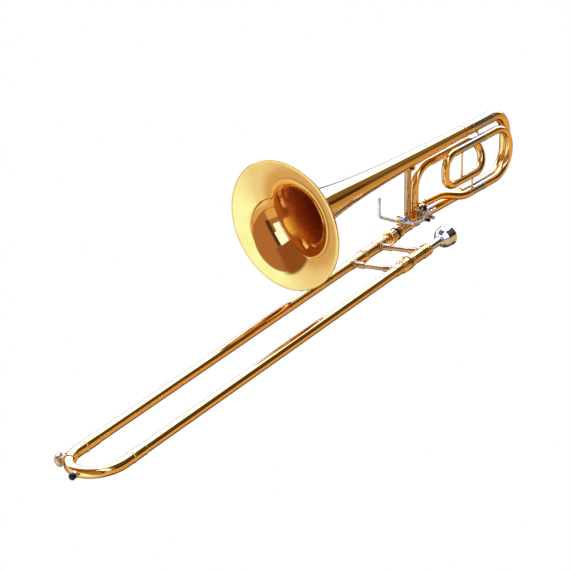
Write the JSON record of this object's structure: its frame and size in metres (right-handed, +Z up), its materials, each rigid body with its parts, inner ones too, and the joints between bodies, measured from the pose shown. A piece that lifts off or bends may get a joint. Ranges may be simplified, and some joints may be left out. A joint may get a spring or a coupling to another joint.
{
  "type": "trombone",
  "caption": "Slide trombone with a flared bell, a rotary valve loop worked by a thumb lever, a telescoping hand slide and a cup mouthpiece.",
  "frame": {"origin": "middle of the bell brace post, where the left hand holds the instrument", "axes": "+X out of the bell along its axis, +Y across towards the mouthpiece tube, +Z up from the hand slide to the bell"},
  "size_m": [1.1844, 0.2529, 0.2628],
  "materials": {
    "lacquered_brass": "gold lacquer over polished brass",
    "nickel_silver": "polished nickel silver",
    "silver_plate": "bright silver plate",
    "steel": "turned steel",
    "rubber": "matt black rubber"
  },
  "bodies": {
    "instrument": {"bell_flare": "lacquered_brass", "bell_stem": "lacquered_brass", "bell_tail_ferrule": "lacquered_brass", "tuning_sleeve_upper": "nickel_silver", "neckpipe": "lacquered_brass", "neckpipe_ferrule": "lacquered_brass", "tuning_sleeve_lower": "nickel_silver", "bell_brace_post": "lacquered_brass", "bell_brace_flange": "lacquered_brass", "bell_brace_foot": "lacquered_brass", "f_riser": "lacquered_brass", "f_rear_bow": "lacquered_brass", "f_inner_run": "lacquered_brass", "f_front_bow": "lacquered_brass", "f_slide_sleeve_upper": "lacquered_brass", "f_slide_sleeve_lower": "lacquered_brass", "f_s_bend": "lacquered_brass", "f_brace_inner": "lacquered_brass", "f_brace_lower": "lacquered_brass", "f_brace_bell": "lacquered_brass", "valve_casing": "lacquered_brass", "valve_cap": "lacquered_brass", "valve_bearing_plate": "nickel_silver", "stop_plate": "nickel_silver", "spring_post": "steel", "upper_stop_bumper": "rubber", "lower_stop_bumper": "rubber", "lever_saddle": "lacquered_brass", "lever_pin": "steel", "far_inner_tube": "nickel_silver", "near_inner_tube": "nickel_silver", "far_stocking": "nickel_silver", "near_stocking": "nickel_silver", "slide_receiver": "lacquered_brass", "far_cork_barrel": "lacquered_brass", "mouthpiece_receiver": "lacquered_brass", "inner_slide_brace": "lacquered_brass"},
    "hand_slide": {"far_handle_ferrule": "lacquered_brass", "near_handle_ferrule": "lacquered_brass", "far_outer_tube": "lacquered_brass", "near_outer_tube": "lacquered_brass", "far_bow_sleeve": "lacquered_brass", "near_bow_sleeve": "lacquered_brass", "hand_slide_brace": "lacquered_brass", "slide_bow": "lacquered_brass", "water_key_band": "lacquered_brass", "bumper_holder": "lacquered_brass", "rubber_bumper": "rubber"},
    "water_key": {"water_key_cap": "nickel_silver"},
    "slide_lock": {"slide_lock_ring": "lacquered_brass"},
    "bell_lock": {"bell_lock_nut": "lacquered_brass"},
    "mouthpiece": {"mouthpiece": "silver_plate"},
    "main_tuning_slide": {"main_tuning_slide": "lacquered_brass"},
    "f_tuning_slide": {"f_tuning_slide": "lacquered_brass"},
    "valve_rotor": {"valve_rotor": "nickel_silver", "stop_arm": "nickel_silver"},
    "thumb_lever": {"thumb_lever": "silver_plate"}
  },
  "joints": [
    {"name": "hand_slide", "type": "slide", "parent": "instrument", "child": "hand_slide", "axis": [0.9979, 0.0572, -0.0295], "range_m": [0, 0.6]},
    {"name": "water_key_press", "type": "slide", "parent": "hand_slide", "child": "water_key", "axis": [-0.5147, 0.8453, 0.1434], "range_m": [0, 0.0018], "stiffness_N_per_m": 1200, "springref_m": -0.002},
    {"name": "slide_lock_turn", "type": "hinge", "parent": "instrument", "child": "slide_lock", "pos_m": [0.13214, 0.09649, -0.04897], "axis": [0.9979, 0.0572, -0.0295], "range_deg": [0, 40]},
    {"name": "bell_lock_turn", "type": "hinge", "parent": "instrument", "child": "bell_lock", "pos_m": [0.04498, 0.00332, -0.05931], "axis": [0.9979, 0.0572, -0.0295], "range_deg": [0, 360]},
    {"name": "mouthpiece_pull", "type": "slide", "parent": "instrument", "child": "mouthpiece", "axis": [-0.9979, -0.0572, 0.0295], "range_m": [0, 0.04]},
    {"name": "main_tuning", "type": "slide", "parent": "instrument", "child": "main_tuning_slide", "axis": [-1, 0, 0], "range_m": [0, 0.045]},
    {"name": "f_tuning", "type": "slide", "parent": "instrument", "child": "f_tuning_slide", "axis": [-1, 0, 0], "range_m": [0, 0.028]},
    {"name": "valve_turn", "type": "hinge", "parent": "instrument", "child": "valve_rotor", "pos_m": [-0.025, 0, -0.042], "axis": [0, -1, 0], "range_deg": [0, 90], "stiffness_Nm_per_rad": 0.03, "springref_deg": -45.84},
    {"name": "lever_press", "type": "hinge", "parent": "instrument", "child": "thumb_lever", "pos_m": [0.018, 0, -0.037], "axis": [0, -1, 0], "range_deg": [0, 19.5]}
  ],
  "couplings": [
    {"joint": "lever_press", "follows": "valve_turn", "ratio": 0.21622}
  ]
}
